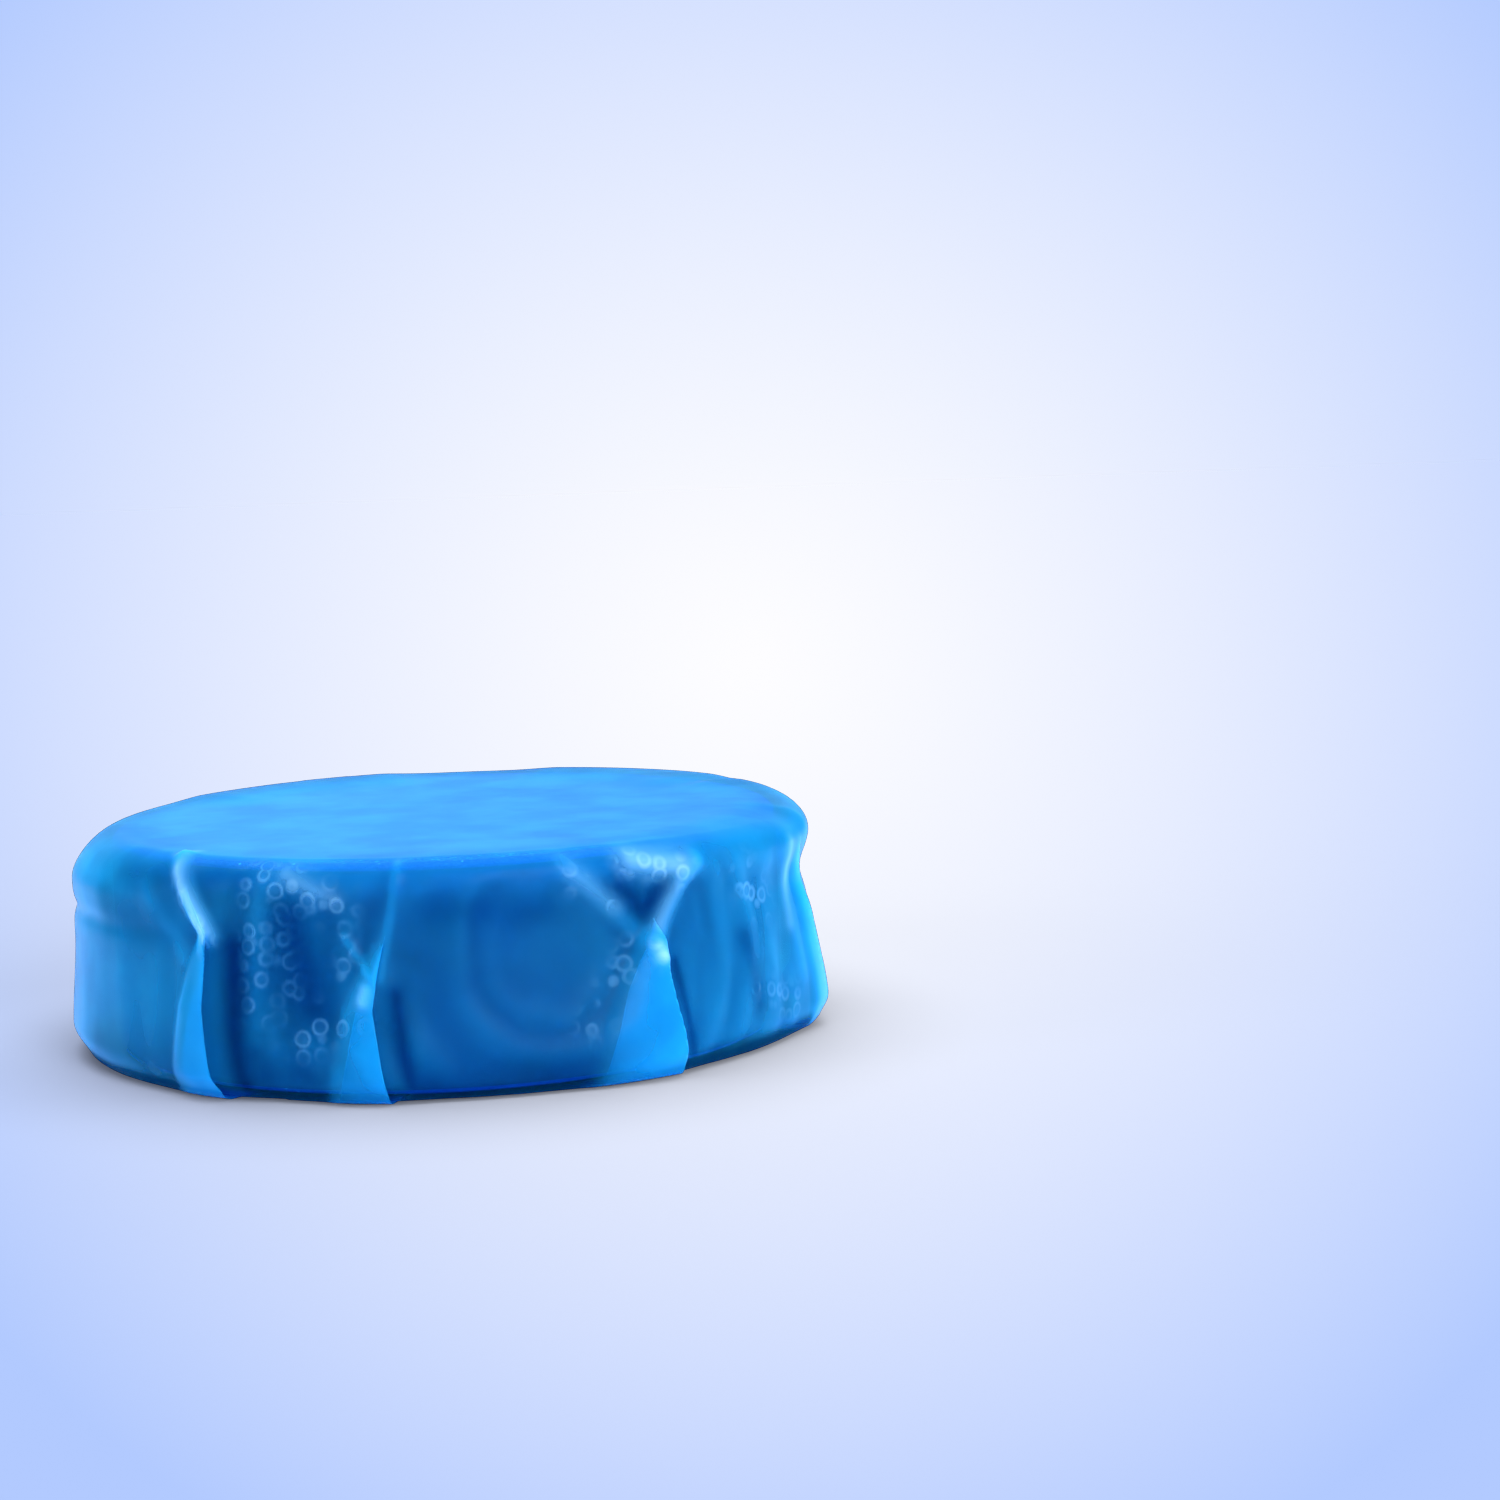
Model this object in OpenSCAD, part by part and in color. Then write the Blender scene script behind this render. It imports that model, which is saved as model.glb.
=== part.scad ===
// Wrapped cistern block: a pressed round tablet inside one thin sheet of pleated film.
// Millimetres, +Z up. The origin is on the base, under the middle of the block's outline.
// The block stands on the film, which is gathered under the tablet and ends in an open ring.

/* [Tablet] */
// Diameter of the pressed tablet
tablet_d = 50; // [42:1:58]
// Thickness of the pressed tablet
tablet_t = 16; // [12:0.5:18]
// Radius on the tablet's top and bottom edges
edge_r = 0.8; // [0.4:0.1:1.2]

/* [Film] */
// Wall of the film's solid
film_t = 0.25; // [0.2:0.05:0.4]
// Gap left between the film and the tablet
film_gap = 0.1; // [0.1:0.05:0.3]
// How far the film stands off the tablet's left and right sides
stand_off = 2.2; // [1:0.1:3]
// Height at which the film's side is widest
foot_h = 2.4; // [1.5:0.1:4]
// Radius of the film's turn at the foot
foot_r = 0.5; // [0.4:0.1:1]

/* [Pleats] */
// How far a pleat stands proud of the film beside it
pleat_h = 0.6; // [0.3:0.1:0.9]
// Width of a pleat at the foot of the side
pleat_w = 5.5; // [4:0.5:7]
// Radius of the open middle under the base, where the gathered film ends
gather_r = 13; // [8:1:18]

/* [Hidden] */

tablet_r = tablet_d / 2;
tablet_z = film_t + film_gap;
hug_r = tablet_r + film_gap + film_t;
film_h = tablet_t + 2 * (film_gap + film_t);
rim_r = edge_r + film_gap + film_t;

// Directions of the pleats round the block, in degrees from +X
pleat_dirs = [16, 56, 100, 144, 186, 226, 257, 301, 337];
// Points in one ring of the film
ring_n = 120;
// Steps in each quarter turn of an edge
arc_n = 3;

// Each ring of the film: inset from the side, height, how far the folds have opened there
// (0 to 1), and the tilt of its outer face above level, in degrees
rim_rings = [for (i = [0:arc_n]) let (t = 90 - 90 * i / arc_n)
    [rim_r * (1 - cos(t)), film_h - rim_r * (1 - sin(t)), 0.15 * i / arc_n, t]];
side_rings = [[0, film_h - 2 * rim_r, 0.75, 0], [0, film_h / 2, 0.9, 0], [0, foot_h, 1, 0]];
foot_rings = [for (i = [0:arc_n]) let (t = -90 * i / arc_n)
    [foot_r * (1 - cos(t)), foot_r * (1 + sin(t)), 0.9 - 0.2 * i / arc_n, t]];
rings = concat(rim_rings, side_rings, foot_rings);

function turn_between(a, b) = abs((a - b + 540) % 360 - 180);

// Share of a pleat's height at direction a, for a pleat of angular width w
function pleat_share(a, w) = max([for (d = pleat_dirs)
    let (off = turn_between(a, d)) off < w / 2 ? cos(180 * off / w) : 0]);

// Angular width of a pleat that has opened by the share open
function pleat_turn(open) = pleat_w * (0.4 + 0.6 * open) / hug_r * 180 / PI;

// Reach of the film's outer face at direction a, on a ring opened by the share open
function reach(a, open) = hug_r + stand_off * open * pow(abs(cos(a)), 3)
    + pleat_h * open * pleat_share(a, pleat_turn(open));

// One ring of points, sunk below the film's outer face by the distance sunk
function ring_points(ring, sunk) = [for (k = [0:ring_n - 1])
    let (a = 360 * k / ring_n,
         r = reach(a, ring[2]) - ring[0] - sunk * cos(ring[3]),
         z = ring[1] - sunk * sin(ring[3]))
    [r * cos(a), r * sin(a), z]];

function edge_points(z) = [for (k = [0:ring_n - 1]) let (a = 360 * k / ring_n)
    [gather_r * cos(a), gather_r * sin(a), z]];

outline = ring_points(side_rings[2], 0);
outline_x = [for (p = outline) p[0]];
outline_y = [for (p = outline) p[1]];
centre_x = (max(outline_x) + min(outline_x)) / 2;
centre_y = (max(outline_y) + min(outline_y)) / 2;

module tablet() {
    corner = [for (i = [0:8]) let (t = 90 * i / 8)
        [tablet_r - edge_r * (1 - cos(t)), edge_r * (1 - sin(t))]];
    color("#0A6ED0")
    translate([-centre_x, -centre_y, tablet_z])
    rotate_extrude($fn = 180)
    polygon(concat(
        [[0, 0]],
        [for (i = [8:-1:0]) corner[i]],
        [for (p = corner) [p[0], tablet_t - p[1]]],
        [[0, tablet_t]]));
}

module film_wrap() {
    // The surface runs from the top's middle down the outside, in under the base to the
    // open ring and back up the inside, so it closes on itself as one shell.
    last = len(rings) - 1;
    loops = concat(
        [for (g = rings) ring_points(g, 0)],
        [edge_points(0), edge_points(film_t)],
        [for (i = [last:-1:0]) ring_points(rings[i], film_t)]);
    count = len(loops);
    points = concat([for (l = loops) each l], [[0, 0, film_h], [0, 0, film_h - film_t]]);
    top_out = count * ring_n;
    top_in = top_out + 1;
    sides = [for (l = [0:count - 2]) for (k = [0:ring_n - 1])
        let (a = l * ring_n + k, b = l * ring_n + (k + 1) % ring_n)
        each [[a, b, b + ring_n], [a, b + ring_n, a + ring_n]]];
    caps = [for (k = [0:ring_n - 1])
        let (next = (k + 1) % ring_n, base = (count - 1) * ring_n)
        each [[next, k, top_out], [base + k, base + next, top_in]]];
    color("#54B6FF", 0.6)
    translate([-centre_x, -centre_y, 0])
    polyhedron(points = points, faces = concat(sides, caps));
}

tablet();
film_wrap();
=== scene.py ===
"""A toilet cistern block: a pressed powder tablet inside one thin sheet of pleated film.

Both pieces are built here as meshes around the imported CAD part. Lengths in the geometry
functions are millimetres, and become metres where a mesh is made.
"""

import math

import bpy
import numpy as np
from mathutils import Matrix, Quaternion, Vector


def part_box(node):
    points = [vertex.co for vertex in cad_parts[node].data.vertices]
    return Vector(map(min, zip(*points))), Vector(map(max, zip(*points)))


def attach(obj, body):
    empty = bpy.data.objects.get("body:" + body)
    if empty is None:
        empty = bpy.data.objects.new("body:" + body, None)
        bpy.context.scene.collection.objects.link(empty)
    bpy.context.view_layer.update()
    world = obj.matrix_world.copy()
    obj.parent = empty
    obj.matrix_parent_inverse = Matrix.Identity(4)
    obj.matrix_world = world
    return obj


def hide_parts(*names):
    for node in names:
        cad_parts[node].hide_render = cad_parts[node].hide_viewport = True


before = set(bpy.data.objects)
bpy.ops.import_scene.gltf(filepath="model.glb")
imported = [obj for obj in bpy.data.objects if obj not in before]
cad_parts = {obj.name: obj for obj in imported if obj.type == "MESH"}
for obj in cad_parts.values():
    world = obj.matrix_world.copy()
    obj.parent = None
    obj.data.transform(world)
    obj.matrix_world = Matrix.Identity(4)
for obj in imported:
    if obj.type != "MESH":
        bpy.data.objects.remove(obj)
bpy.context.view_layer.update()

MM = 0.001

# The tablet and the block's middle, from the frame
low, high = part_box("tablet")
CENTRE = np.array([(low.x + high.x) / 2, (low.y + high.y) / 2]) / MM
TABLET_R = (high.x - low.x) / 2 / MM
TABLET_LOW, TABLET_TOP = low.z / MM, high.z / MM
EDGE_R = 0.8               # radius of its edges, as in the CAD part
film_low, film_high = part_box("film_wrap")
BLOCK_MIDDLE = Vector((0, 0, (film_low.z + film_high.z) / 2))

# ---------------------------------------------------------------- camera

CAMERA_ELEVATION = math.radians(9.65)
CAMERA_ROLL = math.radians(-2.8)
CAMERA_DISTANCE = 0.225
FOCAL_WIDTHS = 1.95        # focal length, in frame widths
OFFSET = (-0.201, -0.1115)  # where the block's middle stands, in frame widths from the centre


def add_camera():
    """A camera in front of the block, which stands left of and below the middle of the frame."""
    data = bpy.data.cameras.new("camera")
    data.sensor_width = 36.0
    data.lens = FOCAL_WIDTHS * data.sensor_width
    data.clip_start = 0.01
    camera = bpy.data.objects.new("camera", data)
    bpy.context.scene.collection.objects.link(camera)
    away = Vector((0, -math.cos(CAMERA_ELEVATION), math.sin(CAMERA_ELEVATION)))
    camera.location = BLOCK_MIDDLE + away * CAMERA_DISTANCE
    facing = (-away).to_track_quat("-Z", "Y")
    roll = Quaternion((0, 0, 1), CAMERA_ROLL)
    ray = Vector((OFFSET[0], OFFSET[1], -FOCAL_WIDTHS)).normalized()
    swing = Vector((0, 0, -1)).rotation_difference(ray)
    camera.rotation_mode = "QUATERNION"
    camera.rotation_quaternion = facing @ roll @ swing.inverted()
    bpy.context.scene.camera = camera


add_camera()

# ---------------------------------------------------------------- numbers and meshes


def smooth(x, a, b):
    """0 below a, 1 above b, and a smooth step between."""
    t = np.clip((x - a) / (b - a), 0, 1)
    return t * t * (3 - 2 * t)


def hashed(cell, seed):
    """A fixed pseudo-random number from 0 to 1 for each whole-number cell."""
    h = cell[..., 0] * 374761393 + cell[..., 1] * 668265263 + cell[..., 2] * 2147483647
    h = (h + seed * 974634777).astype(np.uint64) & np.uint64(0xFFFFFFFF)
    h = ((h ^ (h >> np.uint64(13))) * np.uint64(1274126177)) & np.uint64(0xFFFFFFFF)
    h = (h ^ (h >> np.uint64(16))) & np.uint64(0xFFFFFF)
    return h.astype(float) / 0xFFFFFF


def noise(points, size, seed=0):
    """Smooth value noise from -1 to 1 at points (n, 3), with lumps of the given size."""
    p = points / size
    cell = np.floor(p).astype(np.int64)
    f = p - cell
    f = f * f * (3 - 2 * f)
    total = np.zeros(len(points))
    for dx in (0, 1):
        for dy in (0, 1):
            for dz in (0, 1):
                corner = hashed(cell + np.array([dx, dy, dz]), seed)
                share = np.abs(1 - dx - f[:, 0]) * np.abs(1 - dy - f[:, 1])
                total += corner * share * np.abs(1 - dz - f[:, 2])
    return 2 * total - 1


def cloudy(points, size, octaves, seed=0):
    """Several sizes of noise added up, each half the size and strength of the last."""
    total, scale = np.zeros(len(points)), 0.0
    for k in range(octaves):
        total += noise(points, size / 2**k, seed + k) / 2**k
        scale += 1 / 2**k
    return total / scale


def grid_mesh(name, rings, closed_start, closed_end):
    """A mesh from rings (count, around, 3) in mm, with a fan at the start or end if closed."""
    count, around = rings.shape[:2]
    points = [rings.reshape(-1, 3)]
    base = np.arange(count - 1)[:, None] * around
    here = np.arange(around)[None, :]
    after = (here + 1) % around
    quads = np.stack([base + here, base + here + around, base + after + around, base + after], -1)
    loops, sizes = [quads.reshape(-1)], [np.full((count - 1) * around, 4)]
    step, ahead = np.arange(around), (np.arange(around) + 1) % around
    extra = count * around
    if closed_start:
        points.append(rings[0].mean(0)[None])
        loops.append(np.stack([np.full(around, extra), step, ahead], -1).reshape(-1))
        sizes.append(np.full(around, 3))
        extra += 1
    if closed_end:
        points.append(rings[-1].mean(0)[None])
        last = (count - 1) * around
        loops.append(np.stack([np.full(around, extra), last + ahead, last + step], -1).reshape(-1))
        sizes.append(np.full(around, 3))
    points = np.concatenate(points) + np.array([CENTRE[0], CENTRE[1], 0.0])
    loops, sizes = np.concatenate(loops), np.concatenate(sizes)
    mesh = bpy.data.meshes.new(name)
    mesh.vertices.add(len(points))
    mesh.vertices.foreach_set("co", (points * MM).reshape(-1))
    mesh.loops.add(len(loops))
    mesh.loops.foreach_set("vertex_index", loops)
    mesh.polygons.add(len(sizes))
    mesh.polygons.foreach_set("loop_start", np.concatenate([[0], np.cumsum(sizes)[:-1]]))
    mesh.polygons.foreach_set("use_smooth", np.ones(len(sizes), bool))
    mesh.update(calc_edges=True)
    mesh.validate()
    piece = bpy.data.objects.new(name, mesh)
    bpy.context.scene.collection.objects.link(piece)
    return piece


def round_profile(radius, bottom, top, corners, steps, inner=0.0):
    """Points (r, z, tilt) down a round block's outline: out over the top, round the rim, down
    the side, round the foot and in under the base to the radius inner. tilt is the normal's
    angle above level. corners holds the radii of the rim and the foot, and steps how many
    points each of the five stretches has."""
    rim, foot = corners
    turn = np.linspace(math.pi / 2, 0, steps[1] + 1)[1:]
    dive = np.linspace(0, -math.pi / 2, steps[3] + 1)[1:]
    reach = np.linspace(0, 1, steps[0] + 1)[1:] ** 0.8 * (radius - rim)
    back = np.linspace(radius - foot, inner, steps[4] + 1)[1:]
    side = np.linspace(top - rim, bottom + foot, steps[2] + 1)[1:]
    parts = [
        (reach, np.full(len(reach), top), np.full(len(reach), math.pi / 2)),
        (radius - rim * (1 - np.cos(turn)), top - rim * (1 - np.sin(turn)), turn),
        (np.full(len(side), radius), side, np.zeros(len(side))),
        (radius - foot * (1 - np.cos(dive)), bottom + foot * (1 + np.sin(dive)), dive),
        (back, np.full(len(back), bottom), np.full(len(back), -math.pi / 2)),
    ]
    return [np.concatenate([p[k] for p in parts]) for k in range(3)]


# ---------------------------------------------------------------- film

AROUND = 864               # points round the film
STEPS = (22, 10, 60, 5, 18)  # rings on the top, the rim, the side, the foot and the base
FILM_R = TABLET_R + 0.3    # film's radius at the rim
FILM_LOW = TABLET_LOW - 0.08  # heights of the film's lowest layer and of its top
FILM_TOP = TABLET_TOP + 0.28
FILM_RIM, FILM_FOOT = 1.6, 0.4  # radii of its turns at the rim and at the foot
CUT_R = 13.0               # radius of the film's cut edge under the base
FOOT_STACK = 0.18          # thickness of the gathered layers under the base
STAND_OFF = 2.4            # how far the film stands off the tablet's left and right
FOLD_EASE = 0.8            # length over which a pleat's top layer lifts off the film below
FRONT = 270                # direction of the front, in degrees from +X

# Places on the film's side are (degrees, depth): degrees round from the front, to the right, and
# mm down the film from the start of its turn at the rim.

# Faint ripples on the front: their middle, in mm to the right and mm down, and their spacing
WHORL = (6.5, 8.0)
RIPPLE = 3.2
# Depths at which each pleat below is given
DEPTHS = (0, 6, 11, 17)
# Each pleat: degrees of its crease and its width in mm at those depths, and how puffy its
# layers lie, in mm
PLEATS = [
    ((-116, -115, -114, -112), (0.2, 1.4, 3.0, 5.0), 0.25),
    ((-46, -38.0, -38.4, -36), (0.1, 0.8, 2.2, 3.9), 0.40),
    ((-7.5, -9.8, -11.5, -9.3), (0.05, 0.35, 1.9, 4.2), 0.32),
    ((33, 33, 34.8, 36.8), (0.02, 0.05, 3.8, 7.0), 0.42),
    ((75, 75, 76, 79), (0.5, 1.4, 2.2, 3.0), 0.20),
    ((108, 108, 109, 111), (0.2, 1.8, 3.6, 5.6), 0.30),
    ((146, 147, 149, 151), (0.2, 1.4, 3.2, 5.4), 0.30),
    ((189, 190, 191, 194), (0.3, 1.8, 3.6, 5.8), 0.30),
    ((228, 228, 229, 231), (0.1, 1.4, 3.4, 5.6), 0.30),
]
# Each crease: height and half-width in mm, then the places it runs through
CREASES = [
    (0.48, 0.85, (-47.5, 0.6), (-43, 3.0), (-39, 6.2)),
    (0.30, 0.50, (-8, 1.2), (-9.5, 5.0), (-11.5, 9.0)),
    (0.30, 0.45, (-16.5, 6.0), (-12.8, 8.6)),
    (0.28, 1.10, (17.5, 1.8), (24, 4.4), (31.0, 7.8)),
    (0.40, 1.00, (40.5, 2.5), (37, 4.0), (32.5, 8.2)),
    (0.22, 1.00, (29, 2.1), (39, 2.5)),
    (0.18, 1.60, (67, 2.4), (66, 7.0), (68, 13.0)),
    (0.12, 2.20, (-66, 3.0), (-60, 8.0), (-58, 13.0)),
    (0.20, 1.30, (-52, 3.0), (-44, 7.6)),
    (0.20, 1.30, (-30, 4.0), (-32, 13.0)),
    (0.15, 1.70, (41, 5.0), (43, 9.0), (41, 14.0)),
    (0.12, 2.00, (51, 6.0), (53, 12.0)),
    (0.50, 0.75, (31.6, 7.9), (32.4, 8.8)),
    (0.35, 0.60, (-13.2, 9.4), (-13.6, 10.2)),
    (0.35, 0.60, (120, 2.0), (110, 5.6)),
    (0.30, 0.60, (98, 2.0), (107, 5.0)),
    (0.30, 0.60, (157, 2.0), (149, 5.0)),
    (0.35, 0.60, (178, 2.0), (189, 5.6)),
    (0.35, 0.60, (238, 2.0), (230, 5.4)),
]
# Where the film rises off the top near the rim at the back: height and half-width, places
SWELLS = [
    (0.38, 3.0, (-166, -2.0), (-128, -2.0)),
    (0.38, 3.0, (122, -2.0), (156, -2.0)),
    (0.30, 1.1, (-160, -0.4), (-151, -0.4)),
    (0.40, 1.8, (80, 0.8), (94, 0.6), (110, -1.0)),
]
# Painted shade: dark navy bands beside the pleats and along the foot, laid on as clearer, deeper
# blue film: strength and half-width, places
PAINTED_SHADE_STROKES = [
    (1.0, 1.30, (-35.2, 7.0), (-35.0, 12.0), (-33.0, 17.0)),
    (0.9, 0.75, (-9, 10.0), (-8, 14.0), (-6.5, 17.0)),
    (0.8, 0.45, (36, 9.5), (38, 16.5)),
    (0.9, 1.10, (27, 3.6), (31, 5.6), (35, 4.0)),
    (0.8, 1.50, (-25, 5.0), (-22, 11.0)),
    (0.6, 0.90, (52, 9.0), (54, 14.0)),
    (0.5, 1.30, (-60, 2.6), (-46, 2.4), (-34, 2.2)),
    (0.3, 1.40, (-3, 4.4), (14, 4.8)),
    (0.7, 2.00, (-6, 16.8), (20, 16.8)),
    (0.5, 1.50, (-34, 15.6), (-15, 15.6)),
    (0.5, 2.00, (-62, 5.0), (-52, 6.0)),
    (0.5, 2.00, (-66, 15.0), (-44, 16.0)),
    (0.7, 0.60, (38, 16.6), (50, 16.4)),
]
# Where small air bubbles are trapped under the film, their rings also carrying a painted whitish
# highlight: strength and half-width, places
BUBBLES_AND_GLINTS = [
    (1.0, 1.30, (-31, 2.4), (-24, 2.8), (-17.5, 4.0)),
    (0.8, 1.05, (-31.3, 4.0), (-31, 11.0)),
    (0.6, 0.90, (-28, 5.0), (-24.5, 12.5)),
    (1.0, 1.25, (-24, 13.2), (-17.5, 11.2)),
    (0.9, 0.70, (-16.5, 6.4), (-17, 9.0)),
    (0.9, 0.55, (-45, 3.0), (-38.8, 6.4)),
    (0.8, 0.80, (18, 2.8), (24, 4.6)),
    (0.9, 0.95, (28.5, 8.0), (20.5, 13.0)),
    (1.0, 0.90, (28, 2.2), (38, 3.0)),
    (0.9, 0.60, (31.8, 8.2), (32.4, 8.8)),
    (0.9, 1.25, (52, 4.0), (57, 6.4)),
    (0.5, 1.10, (55, 13.0), (64, 14.6)),
]
# Painted highlights: whitish glints on creases, ridges and knots, laid on as paler, hazier film:
# strength and half-width, places
PAINTED_GLINT_STROKES = [
    (0.75, 0.50, (-46, 1.8), (-42.5, 3.4), (-39.2, 5.8)),
    (0.75, 0.90, (29, 1.9), (38, 2.6)),
    (0.35, 0.70, (19, 2.4), (26, 5.0)),
    (0.5, 0.60, (37, 3.8), (33.5, 6.6)),
    (0.8, 0.45, (31.8, 8.2), (32.3, 8.7)),
    (0.5, 0.60, (-26, 1.8), (-18, 3.4)),
    (0.4, 0.45, (-13.4, 9.6), (-13.8, 10.4)),
    (0.3, 0.60, (68, 2.4), (66, 9.0)),
]


def turn_off(theta, direction):
    """Signed angle from a direction in radians, from -pi to pi."""
    return (theta - direction + math.pi) % (2 * math.pi) - math.pi


def film_map(arc, r, down):
    """Where each point of the flat sheet goes: its direction round the block, how far through
    its pleat's layers it lies (0 at the tablet, 1 outermost) on the side and on the base, and
    how near it is to its crease (0 to 1, 0 outside the pleat). A ring lies at distance arc
    from the sheet's middle, at radius r and at depth down."""
    whole = 2 * math.pi
    flat_turn = np.arange(AROUND) * whole / AROUND
    theta = np.zeros((len(arc), AROUND))
    side_layer, base_layer, near_crease = (np.zeros_like(theta) for _ in range(3))
    middles = [math.radians(FRONT + degrees[2]) - widths[2] / TABLET_R / 2
        for degrees, widths, _ in PLEATS]
    ends = [(here + after) / 2 for here, after in zip(middles, middles[1:] + [middles[0] + whole])]
    foot = DEPTHS[-1]
    round_off = 1.6 * whole / AROUND

    def ramp(t):
        """The greater of t and 0, rounded off so that a fold turns over a few columns."""
        return (t + np.sqrt(t * t + round_off * round_off)) / 2

    for i, (degrees, widths, _) in enumerate(PLEATS):
        start = ends[i - 1] - (whole if i == 0 else 0)
        cell = ends[i] - start
        columns = np.where((flat_turn - start) % whole < cell)[0]
        x = ((flat_turn - start) % whole)[columns][None, :]
        under = np.clip(down - foot, 0, None)
        gathered = np.interp(down, DEPTHS, widths) / r + under * cell / r
        width = np.where(arc < r + 0.3, 0.0, gathered)[:, None]
        width = width * smooth(arc - r, 0.2, 2.0)[:, None]
        crease = np.radians(FRONT + np.interp(down, DEPTHS, degrees))[:, None] - start
        crease = crease + (under / 2 * cell / r)[:, None]
        grow = (cell + 2 * width) / cell
        first = crease / grow
        second = first + width / grow
        turned = grow * (x - 2 * ramp(x - first) + 2 * ramp(x - second))
        theta[:, columns] = start + turned
        back = np.clip((x - first) / np.maximum(width / grow, 1e-6), 0, 1)
        rise = np.clip((x + cell / 2) / (first + cell / 2), 0, 1)
        fall = np.clip((x - second) / (cell * 1.5 - second), 0, 1)
        even = np.where(x < first, rise, np.where(x < second, 1 - back, fall))
        base_layer[:, columns] = even
        opened = smooth(width * r[:, None], 0.05, 1.2)
        lift = FOLD_EASE / r[:, None]
        over = np.clip((turned - (crease - width) + lift) / (width + lift), 0, 1)
        eased = 1 - (1 - over) ** 2
        lying = np.where(x < first, eased, np.where(x < second, 1 - back, 0.0))
        side_layer[:, columns] = lying * opened
        near = np.where(x < first, over**0.7, np.where(x < second, 0.4 - 0.4 * back, 0.0))
        near_crease[:, columns] = near * opened
    return theta, side_layer, base_layer, near_crease


def strokes(theta, down, lines):
    """The greatest, at each point, of the soft-edged lines given as (strength, half-width,
    place, place, ...) on the unrolled side."""
    total = np.zeros_like(theta)
    for strength, width, *places in lines:
        middle = math.radians(FRONT + places[0][0])
        x = turn_off(theta, middle) * FILM_R
        spots = [(math.radians(degrees - places[0][0]) * FILM_R, depth)
            for degrees, depth in places]
        away = np.full_like(theta, 1e9)
        for (ax, ay), (bx, by) in zip(spots, spots[1:]):
            length = (bx - ax) ** 2 + (by - ay) ** 2
            along = np.clip(((x - ax) * (bx - ax) + (down - ay) * (by - ay)) / length, 0, 1)
            off_x, off_y = x - ax - along * (bx - ax), down - ay - along * (by - ay)
            away = np.minimum(away, np.hypot(off_x, off_y))
        total = np.maximum(total, strength * np.exp(-((away / width) ** 1.7)))
    return total


def pleat_rise(theta, down, under):
    """How puffy the pleats are, and how far their corners stand off the tablet, in mm."""
    puff, corners = np.zeros_like(theta), np.zeros_like(theta)
    for degrees, widths, puffy in PLEATS:
        at = np.radians(FRONT + np.interp(down, DEPTHS, degrees))
        half = np.interp(down, DEPTHS, widths) / FILM_R / 2
        off = turn_off(theta, at - half)
        puff += puffy * np.exp(-((off * FILM_R / 7) ** 4))
        height = 0.6 * smooth(down, 2.5, 15.0) * (1 - 0.4 * under)
        height = height * smooth(np.interp(down, DEPTHS, widths), 0.0, 1.6)
        reach = np.arccos(FILM_R / (FILM_R + height))
        span = np.clip(reach - np.clip(np.abs(off) - half, 0, None), 0, None)
        corners = np.maximum(corners, FILM_R * (1 / np.cos(span) - 1))
    return puff, corners


def stand_off(theta, down):
    """How far the film stands off the tablet: on the right from the rim, on the left below it,
    and a little all round the foot."""
    lean = np.abs(np.cos(theta)) ** 2.6
    left, right = lean * (np.cos(theta) < 0), lean * (np.cos(theta) > 0)
    waist = 1 - 0.26 * np.exp(-(((down - 5.5) / 2.2) ** 2))
    pinch = 1 - 0.10 * np.exp(-(((down - 6.2) / 0.7) ** 2))
    from_rim = (0.86 * smooth(down, -5.0, 1.6) + 0.05 * smooth(down, 4, 12)) * waist
    below_rim = (0.42 * smooth(down, -2.5, 1.6) + 0.76 * smooth(down, 0.8, 4.4)) * pinch
    tucked = 1 - smooth(down, 15.0, 17.6) * np.where(np.cos(theta) > 0, 0.25, 0.45)
    flare = 0.55 * smooth(down, 8.0, 16.5) - 0.15 * smooth(down, 2.5, 4.5)
    side = STAND_OFF * tucked * (left * below_rim + right * from_rim)
    return (side + flare) * (1 - smooth(down, 17.3, 22.0))


def fine_relief(theta, down, where, on_side, on_top):
    """Height in mm of the film's fine relief, and two waves from -1 to 1 that the haze follows
    too: the ripples on the side and the slow swell of the whole film."""
    sway = cloudy(where * np.array([1, 1, 0.45]), 4.5, 3, 23).reshape(theta.shape)
    swell = cloudy(where, 8.0, 3, 31).reshape(theta.shape)
    x = turn_off(theta, math.radians(FRONT)) * FILM_R
    from_whorl = np.hypot(x - WHORL[0], down - WHORL[1])
    ripples = np.sin((from_whorl + 1.6 * sway) * 2 * math.pi / RIPPLE)
    ripples = ripples * smooth(from_whorl, 1.5, 6.0) * (1 - 0.7 * smooth(from_whorl, 20.0, 36.0))
    flank = 1 - 0.7 * smooth(np.abs(np.cos(theta)), 0.75, 0.95)
    relief = on_side * flank * (0.08 * (sway + 0.6) + 0.06 * (ripples + 1))
    relief += on_top * 0.05 * (swell + 0.6) + strokes(theta, down, SWELLS)
    return relief, ripples, swell


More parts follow.
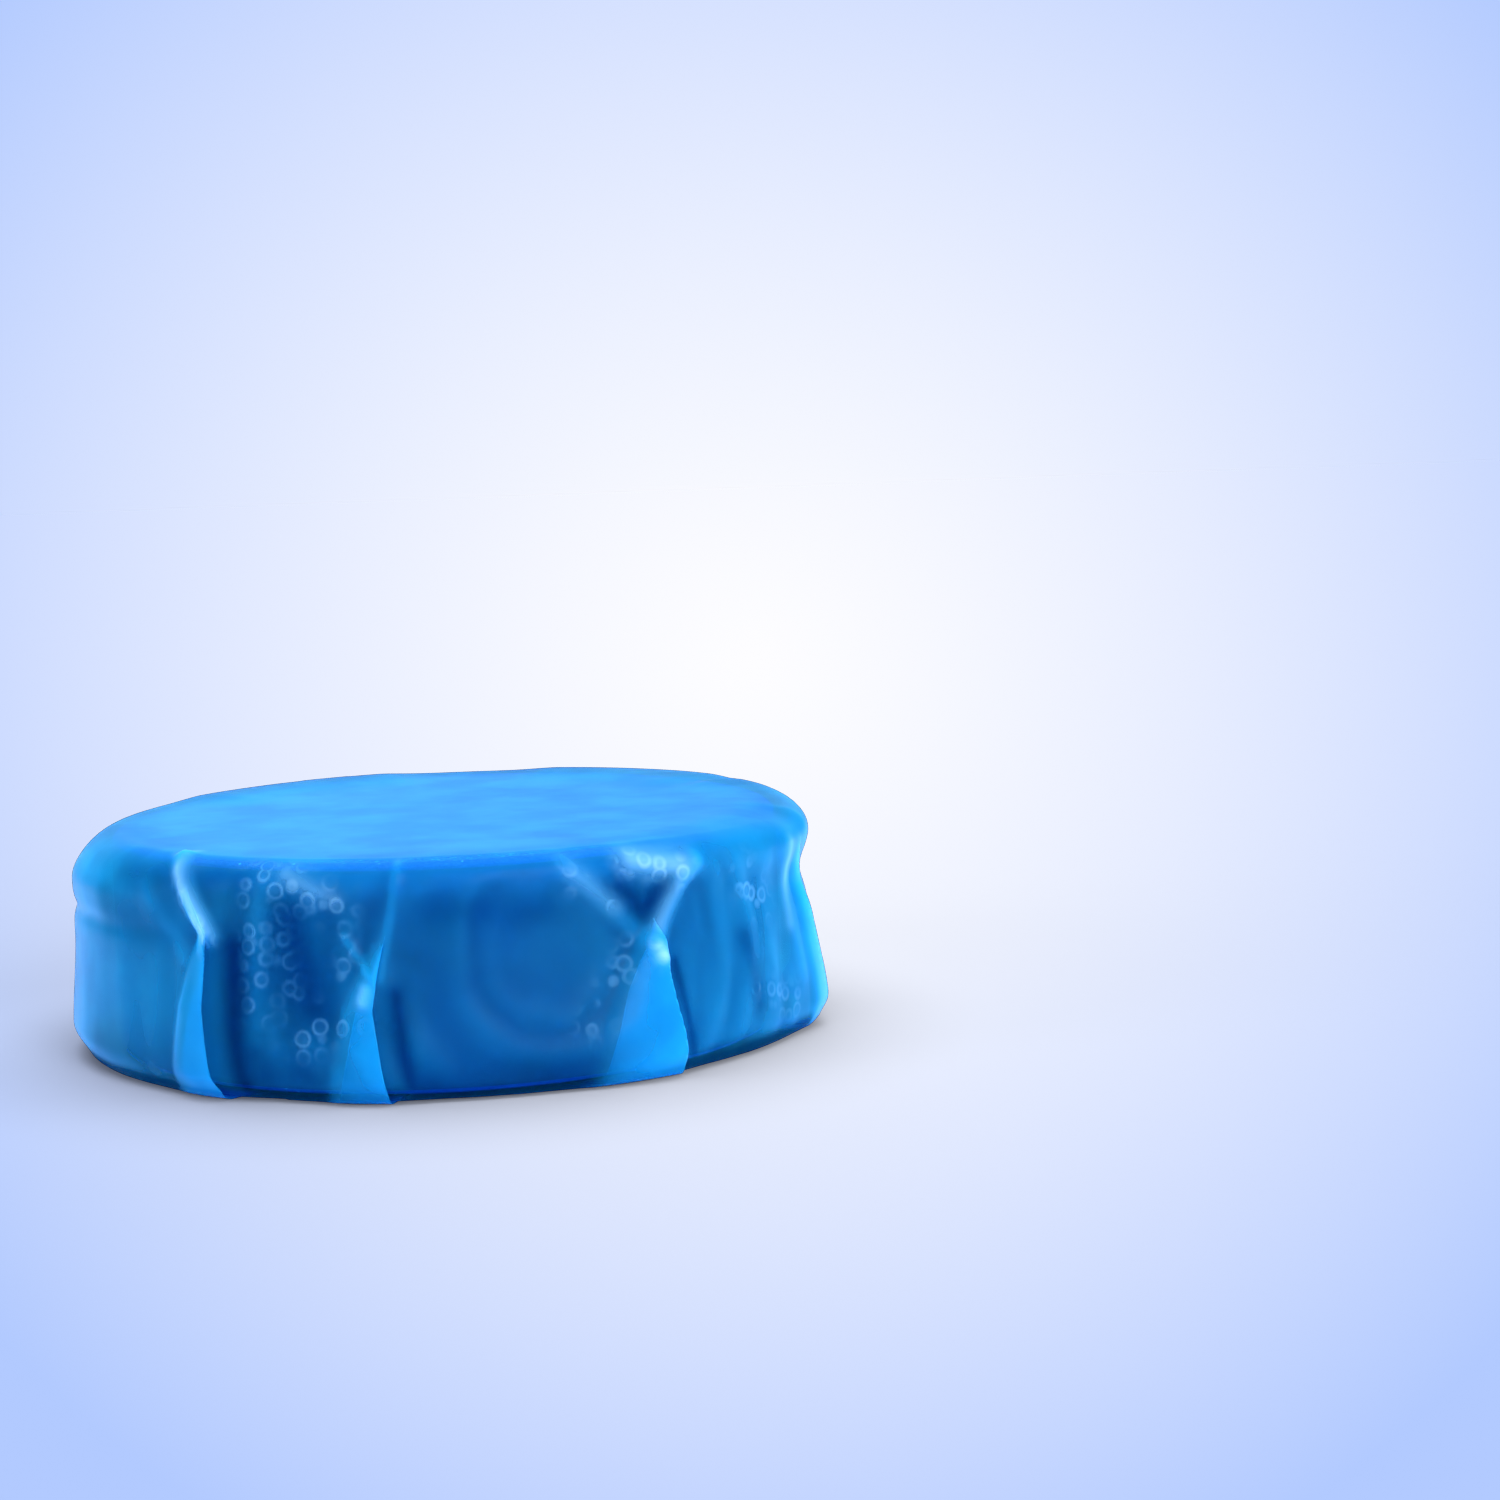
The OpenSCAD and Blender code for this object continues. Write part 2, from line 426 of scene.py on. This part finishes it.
def make_film():
    """The sheet, pleated round the tablet and gathered under it, and its radius when flat."""
    r, z, tilt = round_profile(FILM_R, FILM_LOW, FILM_TOP, (FILM_RIM, FILM_FOOT), STEPS, CUT_R)
    arc = np.cumsum(np.hypot(np.diff(r, prepend=0), np.diff(z, prepend=FILM_TOP)))
    depth = arc - arc[STEPS[0] - 1]
    foot_end = depth[sum(STEPS[:4]) - 1]
    theta, side_layer, base_layer, near_crease = film_map(arc, r, depth)
    down = np.repeat(depth[:, None], AROUND, 1)
    R, T, Z = r[:, None], tilt[:, None], z[:, None]
    under = smooth(depth, foot_end - 2.0, foot_end + 0.3)[:, None]
    on_side = smooth(down, 1.6, 3.2) * (1 - under)
    on_top = 1 - smooth(down, -0.5, 0.8)
    right = np.cos(theta)

    # Heights off the plain outline
    smooth_film = np.stack([R * right, R * np.sin(theta), np.repeat(Z, AROUND, 1)], -1)
    where = smooth_film.reshape(-1, 3)
    relief, ripples, swell = fine_relief(theta, down, where, on_side, on_top)
    puff, corners = pleat_rise(theta, down, under)
    stand = stand_off(theta, down)
    creases = strokes(theta, down, CREASES)
    layers = (1 - under) * side_layer * 2 * puff * smooth(arc - r, 0.4, 4.0)[:, None]
    layers += under * base_layer * FOOT_STACK
    lifted = layers + relief + creases * (1 - on_top) * (1 - under)
    droop = 0.42 * STAND_OFF * np.clip(right, 0, 1) ** 2.6
    droop = droop * (1 - smooth(np.sin(theta), -0.1, 0.6))
    rr = R + stand + corners * (1 - on_top) + lifted * np.cos(T)
    zz = Z + lifted * np.sin(T) - droop * smooth(down, -2.0, 1.5) * (1 - smooth(down, 3.0, 9.0))
    rings = np.stack([rr * right, rr * np.sin(theta), zz], -1)
    piece = grid_mesh("film", rings, closed_start=True, closed_end=False)

    # What the material reads: where the film is loose, with painted light and shade on its flanks
    # and top; folded; under painted shade; bubbly, with painted glints; and under painted highlights
    standoff_and_flank_light = 0.10 * stand + 0.5 * (corners + relief) + 0.12 * (ripples + 1) * on_side
    # Extra haze on the right and left flanks paints them lighter: painted light, added to the real
    # haze where the film stands off
    standoff_and_flank_light += 0.45 * smooth(right, 0.55, 0.85) * on_side
    standoff_and_flank_light += (0.62 * smooth(-right, 0.6, 0.85) + 0.5 * smooth(-right, 0.95, 0.99)) * on_side
    at_rim = 1 - 0.45 * np.exp(-(((down + 0.4) / 1.8) ** 2))
    # On the top, haze paints the left lighter and the right darker: painted light and shade, with a
    # random swell
    top_haze_and_shade = 0.37 - 0.16 * right * R / FILM_R + 0.09 * swell
    paint_values(piece, "loose_and_painted_light", standoff_and_flank_light * (1 - on_top) + top_haze_and_shade * at_rim * on_top)
    raised = np.clip(creases - 0.12, 0, 1) * 2.2
    bridge = 0.3 * np.exp(-(((down - 1.7) / 1.4) ** 2))
    thinner = smooth(down, 4.0, 13.0) * (0.25 + 0.3 * smooth(-right, 0.5, 0.7))
    paint_values(piece, "folded", near_crease * (1 - thinner) * (1 - under) + raised + bridge)
    inner = 1 - np.clip(side_layer * 3 - 0.2, 0, 1)
    # Painted shade: the listed dark bands, and a dark line all round the foot
    pressed = np.maximum(strokes(theta, down, PAINTED_SHADE_STROKES), 0.9 * smooth(down, 15.9, 16.8))
    paint_values(piece, "painted_shade", pressed * inner * (1 - on_top))
    paint_values(piece, "bubbles_and_glints", strokes(theta, down, BUBBLES_AND_GLINTS) * (1 - on_top))
    paint_values(piece, "painted_glints", strokes(theta, down, PAINTED_GLINT_STROKES))
    return piece, float(arc[-1])


def paint_values(piece, name, values):
    """Keep a number from 0 to 1 at each point of the film, the last of which is its middle."""
    values = np.clip(values, 0, 1)
    numbers = np.append(values.reshape(-1), values[0].mean()).astype(np.float32)
    piece.data.attributes.new(name, "FLOAT", "POINT").data.foreach_set("value", numbers)


# ---------------------------------------------------------------- tablet

TABLET_AROUND = 720        # points round the tablet
TABLET_STEPS = (92, 6, 24, 6, 9)  # rings on its top, rim, side, foot and base
# A crumb stuck to the top face: its place and half-width in mm
CRUMB = (-7.4, -5.8, 1.5)


def make_tablet():
    """The pressed tablet: a pitted, grainy top with a crumb, chipped edges and a plain side."""
    edges = (EDGE_R, EDGE_R)
    r, z, tilt = round_profile(TABLET_R, TABLET_LOW, TABLET_TOP, edges, TABLET_STEPS)
    theta = np.arange(TABLET_AROUND) * 2 * math.pi / TABLET_AROUND
    R, Z = (np.repeat(values[:, None], TABLET_AROUND, 1) for values in (r, z))
    A, T = np.repeat(theta[None, :], len(r), 0), tilt[:, None]
    X, Y = R * np.cos(A), R * np.sin(A)
    where, shape = np.stack([X, Y, Z], -1).reshape(-1, 3), R.shape
    grain = noise(where, 0.45, 3).reshape(shape)
    pits = smooth(cloudy(where, 1.3, 3, 7).reshape(shape), 0.25, 0.75)
    swell = cloudy(where, 9.0, 2, 17).reshape(shape)
    face = np.sin(T) > 0.99
    inner = face * smooth(TABLET_R - R, 0.9, 2.4)
    sunk = inner * (0.05 * (grain + 1) + 0.16 * pits + 0.05 * (swell + 1))
    lump = np.hypot(X - CRUMB[0], 1.4 * (Y - CRUMB[1])) / CRUMB[2]
    crumb = smooth(1.3 - lump + 0.5 * cloudy(where, 1.6, 2, 53).reshape(shape), 0.0, 0.5)
    sunk = sunk - inner * crumb * 0.24
    sunk = sunk + (1 - face) * (0.001 * (grain + 1) + 0.02 * (swell + 1))
    chips = smooth(cloudy(where, 2.4, 3, 41).reshape(shape), 0.42, 0.75)
    middle, half = (TABLET_LOW + TABLET_TOP) / 2, (TABLET_TOP - TABLET_LOW) / 2
    to_side, to_face = TABLET_R - 0.3 - R, np.abs(Z - middle) - half
    sunk = sunk + 0.45 * chips * np.exp(-((to_side / 0.7) ** 2) - (to_face / 0.7) ** 2)
    rr, zz = R - sunk * np.cos(T), Z - sunk * np.sin(T)
    rings = np.stack([rr * np.cos(A), rr * np.sin(A), zz], -1)
    return grid_mesh("tablet_body", rings, closed_start=True, closed_end=True)


# ---------------------------------------------------------------- materials


class Nodes:
    """A material's node tree, with short calls to add and join nodes."""

    def __init__(self, name="", tree=None):
        if tree is None:
            self.material = bpy.data.materials.new(name)
            self.material.use_nodes = True
            tree = self.material.node_tree
        self.tree = tree
        tree.nodes.clear()

    def add(self, kind, inputs=None, **settings):
        node = self.tree.nodes.new(kind)
        for key, value in settings.items():
            setattr(node, key, value)
        for key, value in (inputs or {}).items():
            socket = node.inputs[key]
            if isinstance(value, bpy.types.NodeSocket):
                self.tree.links.new(value, socket)
            else:
                socket.default_value = value
        return node

    def math(self, operation, a, b=0.0, c=0.0):
        return self.add("ShaderNodeMath", {0: a, 1: b, 2: c}, operation=operation).outputs[0]

    def ramp(self, value, low, high, out_low=0.0, out_high=1.0):
        node = self.add("ShaderNodeMapRange", {"Value": value, "From Min": low, "From Max": high,
            "To Min": out_low, "To Max": out_high}, interpolation_type="SMOOTHSTEP")
        return node.outputs["Result"]

    def mix(self, share, a, b):
        node = self.add("ShaderNodeMix", data_type="RGBA")
        for index, value in ((0, share), (6, a), (7, b)):
            if isinstance(value, bpy.types.NodeSocket):
                self.tree.links.new(value, node.inputs[index])
            else:
                node.inputs[index].default_value = value
        return node.outputs[2]

    def noise(self, scale, detail, roughness, vector):
        inputs = {"Scale": scale, "Detail": detail, "Roughness": roughness, "Vector": vector}
        return self.add("ShaderNodeTexNoise", inputs).outputs[0]


def colour(hex_code):
    """A linear colour from a #RRGGBB code."""
    parts = [int(hex_code[i:i + 2], 16) / 255 for i in (1, 3, 5)]
    return [p / 12.92 if p <= 0.04045 else ((p + 0.055) / 1.055) ** 2.4 for p in parts] + [1.0]


def powder_material():
    """Pressed blue powder: pale and dark grains, white crystals, a smooth rim and a duller side,
    whose much darker blue is partly its own tone and partly painted shade.
    """
    n = Nodes("pressed_powder")
    place = n.add("ShaderNodeTexCoord").outputs["Object"]
    xyz = n.add("ShaderNodeSeparateXYZ", {0: place})
    flat = n.add("ShaderNodeCombineXYZ", {0: xyz.outputs[0], 1: xyz.outputs[1], 2: 0.0})
    centre = (CENTRE[0] * MM, CENTRE[1] * MM, 0.0)
    from_axis = n.add("ShaderNodeVectorMath", {0: flat.outputs[0], 1: centre}, operation="DISTANCE")
    radius = from_axis.outputs["Value"]
    normal = n.add("ShaderNodeNewGeometry").outputs["True Normal"]
    up = n.math("ABSOLUTE", n.add("ShaderNodeSeparateXYZ", {0: normal}).outputs[2])
    face = n.ramp(up, 0.35, 0.8)
    rim = n.ramp(radius, (TABLET_R - 2.1) * MM, (TABLET_R - 0.9) * MM)
    grains = n.noise(2600.0, 2.0, 0.6, place)
    fine = n.noise(5200.0, 1.0, 0.5, place)
    clouds = n.noise(130.0, 3.0, 0.6, place)
    streaks = n.noise(420.0, 3.0, 0.6, place)
    sparkle = n.add("ShaderNodeTexVoronoi", {"Vector": place, "Scale": 900.0}).outputs[0]
    body = n.mix(n.ramp(clouds, 0.35, 0.65), colour("#0A62C2"), colour("#1284E2"))
    body = n.mix(n.ramp(streaks, 0.52, 0.68, 0.0, 0.55), body, colour("#0A4FA8"))
    body = n.mix(n.ramp(grains, 0.54, 0.72, 0.0, 0.85), body, colour("#36ACFA"))
    body = n.mix(n.ramp(fine, 0.40, 0.28, 0.0, 0.9), body, colour("#083670"))
    band = n.mix(n.ramp(grains, 0.5, 0.8, 0.0, 0.4), colour("#0450B8"), colour("#1470D4"))
    body = n.mix(rim, body, band)
    # The side's dark blues: partly the pressed side's own tone, partly painted shade for the less
    # light the side gets
    wall = n.mix(n.ramp(clouds, 0.3, 0.7), colour("#052A5C"), colour("#07346E"))
    wall = n.mix(n.ramp(grains, 0.52, 0.72, 0.0, 0.10), wall, colour("#1A6AB0"))
    from_top = n.math("SUBTRACT", (TABLET_TOP + 1.2) * MM, xyz.outputs[2])
    from_top = n.math("MULTIPLY_ADD", streaks, -2.4 * MM, from_top)
    wall = n.mix(n.ramp(from_top, 2.8 * MM, 0.4 * MM, 0.0, 0.45), wall, colour("#1664B4"))
    body = n.mix(n.ramp(sparkle, 0.13, 0.07, 0.0, 0.75), body, colour("#BFE6FF"))
    body = n.mix(face, wall, body)
    height = n.math("ADD", n.math("MULTIPLY", grains, 0.7), n.math("MULTIPLY", fine, 0.5))
    height = n.math("MULTIPLY", height, n.ramp(face, 0.0, 1.0, 0.02, 1.0))
    bump = n.add("ShaderNodeBump", {"Strength": 0.55, "Distance": 0.00018, "Height": height})
    rough = n.ramp(n.math("MULTIPLY", face, grains), 0.3, 0.8, 0.75, 0.42)
    shader = n.add("ShaderNodeBsdfPrincipled", {"Base Color": body, "Roughness": rough,
        "Normal": bump.outputs[0], "Specular IOR Level": 0.22})
    n.add("ShaderNodeOutputMaterial", {"Surface": shader.outputs[0]})
    return n.material


def film_material():
    """Thin blue film: clear where it clings, hazier where it stands off, deeper edge on, with
    painted shade in dark bands and painted highlights on creases and bubble rings.
    """
    n = Nodes("clear_film")
    place = n.add("ShaderNodeTexCoord").outputs["Object"]
    loose_and_painted_light, folded, painted_shade, bubbles_and_glints, painted_glints = (
        n.add("ShaderNodeAttribute", attribute_name=name).outputs["Fac"]
        for name in ("loose_and_painted_light", "folded", "painted_shade", "bubbles_and_glints", "painted_glints"))
    clouds = n.noise(170.0, 3.0, 0.55, place)

    # Bubbles: pale rings round faintly filled middles, the rings partly painted highlight
    cells = n.add("ShaderNodeTexVoronoi", {"Vector": place, "Scale": 760.0, "Randomness": 0.8})
    from_ring = n.math("ABSOLUTE", n.math("SUBTRACT", cells.outputs["Distance"], 0.40))
    ring = n.ramp(from_ring, 0.16, 0.02)
    bubble_and_glint = n.math("MULTIPLY", bubbles_and_glints, n.math("MULTIPLY_ADD", ring, 0.75,
        n.ramp(cells.outputs["Distance"], 0.44, 0.34, 0.0, 0.22)))

    # Haze of the film seen straight on, and path, how much more of it a slanting look crosses
    facing = n.add("ShaderNodeLayerWeight", {"Blend": 0.5}).outputs["Facing"]
    path = n.math("DIVIDE", 1.0, n.math("MAXIMUM", n.math("SUBTRACT", 1.0, facing), 0.22))
    # Hazier where the film stands off; the same attribute also carries painted light on the flanks
    # and painted shade on the top's right
    haze = n.math("MULTIPLY_ADD", loose_and_painted_light, 0.15, n.ramp(clouds, 0.3, 0.7, 0.068, 0.084))
    haze = n.math("MULTIPLY_ADD", folded, 0.34, haze)
    # Painted shade: less haze where the dark bands are laid on, so the film looks darker there
    haze = n.math("MULTIPLY", haze, n.math("SUBTRACT", 1.0, n.math("MULTIPLY", painted_shade, 0.85)))
    # Painted highlights: more haze where the glints and bubble rings are laid on
    haze = n.math("MULTIPLY_ADD", painted_glints, 0.28, n.math("MULTIPLY_ADD", bubble_and_glint, 0.13, haze))
    haze = n.math("MINIMUM", haze, 0.95)
    alpha = n.math("SUBTRACT", 1.0, n.math("POWER", n.math("SUBTRACT", 1.0, haze), path))
    tint = n.mix(n.ramp(clouds, 0.3, 0.7), colour("#0AA5F5"), colour("#14B3FE"))
    # Painted highlights: the film's blue turns whitish on the glints and bubble rings
    white = n.math("MULTIPLY_ADD", painted_glints, 0.55, n.math("MULTIPLY", bubble_and_glint, 0.26))
    tint = n.mix(white, tint, colour("#A8DCFC"))
    height = n.math("MULTIPLY_ADD", bubble_and_glint, 0.6, n.math("MULTIPLY", clouds, 0.5))
    bump = n.add("ShaderNodeBump", {"Strength": 0.4, "Distance": 0.0002, "Height": height})
    haze_shader = n.add("ShaderNodeBsdfPrincipled", {"Base Color": tint, "Roughness": 0.36,
        "Normal": bump.outputs[0], "IOR": 1.22})

    # What shows through takes the film's blue, and a deeper blue where painted shade is laid on
    depth = n.math("MULTIPLY_ADD", painted_shade, 3.2, path)
    through = [n.math("POWER", share, depth) for share in (0.42, 0.83, 0.95)]
    seen = n.add("ShaderNodeCombineColor", {0: through[0], 1: through[1], 2: through[2]})
    clear = n.add("ShaderNodeBsdfTransparent", {"Color": seen.outputs[0]})
    shader = n.add("ShaderNodeMixShader", {0: alpha, 1: clear.outputs[0], 2: haze_shader.outputs[0]})
    n.add("ShaderNodeOutputMaterial", {"Surface": shader.outputs[0]})
    return n.material


# ---------------------------------------------------------------- pieces

film, sheet_r = make_film()
film.data.materials.append(film_material())
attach(film, "wrapper")
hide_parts("film_wrap")

tablet = make_tablet()
tablet.data.materials.append(powder_material())
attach(tablet, "block")
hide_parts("tablet")

# ---------------------------------------------------------------- floor, backdrop and light

AMBIENT = 0.25             # the studio's own light on the block, beside what the camera sees
BACKLIGHT = 0.80           # how much brighter it is behind the block


def add_world():
    """A pale studio: white in the middle of the view, soft blue towards its edges, and an even
    white fill, brighter from behind, on the block itself."""
    world = bpy.data.worlds.new("studio")
    bpy.context.scene.world = world
    world.use_nodes = True
    n = Nodes(tree=world.node_tree)
    place = n.add("ShaderNodeTexCoord").outputs["Generated"]
    middle = bpy.context.scene.camera.rotation_quaternion @ Vector((0.0, 0.03, -1.0)).normalized()
    along = n.add("ShaderNodeVectorMath", {0: place, 1: middle}, operation="DOT_PRODUCT")
    away = n.math("SQRT", n.math("MAXIMUM", n.math("SUBTRACT", 1.0, along.outputs["Value"]), 0.0))
    share = n.math("POWER", n.math("DIVIDE", away, 0.235), 1.35)
    tone = n.mix(n.math("MINIMUM", share, 1.0), colour("#FDFDFF"), colour("#B2CAFF"))
    tone = n.mix(n.ramp(away, 0.30, 0.70), tone, colour("#E4ECFF"))
    seen = n.add("ShaderNodeLightPath").outputs["Is Camera Ray"]
    behind = n.add("ShaderNodeVectorMath", {0: place, 1: (0.0, 0.98, 0.2)}, operation="DOT_PRODUCT")
    behind = n.math("POWER", n.math("MAXIMUM", behind.outputs["Value"], 0.0), 10.0)
    fill = n.math("MULTIPLY_ADD", behind, BACKLIGHT, AMBIENT)
    strength = n.add("ShaderNodeMix", {0: seen, 2: fill, 3: 1.0}).outputs[0]
    tone = n.mix(seen, colour("#F4FAFF"), tone)
    glow = n.add("ShaderNodeBackground", {"Color": tone, "Strength": strength})
    n.add("ShaderNodeOutputWorld", {"Surface": glow.outputs[0]})


def add_floor():
    """A pale floor that takes the block's shadow."""
    data = bpy.data.meshes.new("floor")
    corners = [(-1.5, -1.5, 0), (1.5, -1.5, 0), (1.5, 1.5, 0), (-1.5, 1.5, 0)]
    data.from_pydata(corners, [], [(0, 1, 2, 3)])
    floor = bpy.data.objects.new("floor", data)
    bpy.context.scene.collection.objects.link(floor)
    n = Nodes("pale_floor")
    shader = n.add("ShaderNodeBsdfPrincipled", {"Base Color": colour("#DCE6FF"), "Roughness": 0.8})
    n.add("ShaderNodeOutputMaterial", {"Surface": shader.outputs[0]})
    data.materials.append(n.material)
    floor.is_shadow_catcher = True


def add_light(name, location, size, power):
    """A soft, round, white area light that looks at the block."""
    data = bpy.data.lights.new(name, "AREA")
    data.shape = "DISK"
    data.size = size
    data.energy = power
    light = bpy.data.objects.new(name, data)
    light.location = location
    to_block = Vector((0, 0, 0.01)) - Vector(location)
    light.rotation_euler = to_block.to_track_quat("-Z", "Y").to_euler()
    bpy.context.scene.collection.objects.link(light)


bpy.context.scene.view_settings.view_transform = "Standard"
add_world()
add_floor()
add_light("top", (0.0, 0.06, 0.45), 0.70, 4.3)
add_light("front", (0.18, -0.48, 0.17), 0.26, 2.5)
add_light("left", (-0.50, -0.16, 0.16), 0.24, 0.55)
add_light("right", (0.50, -0.10, 0.20), 0.24, 0.6)
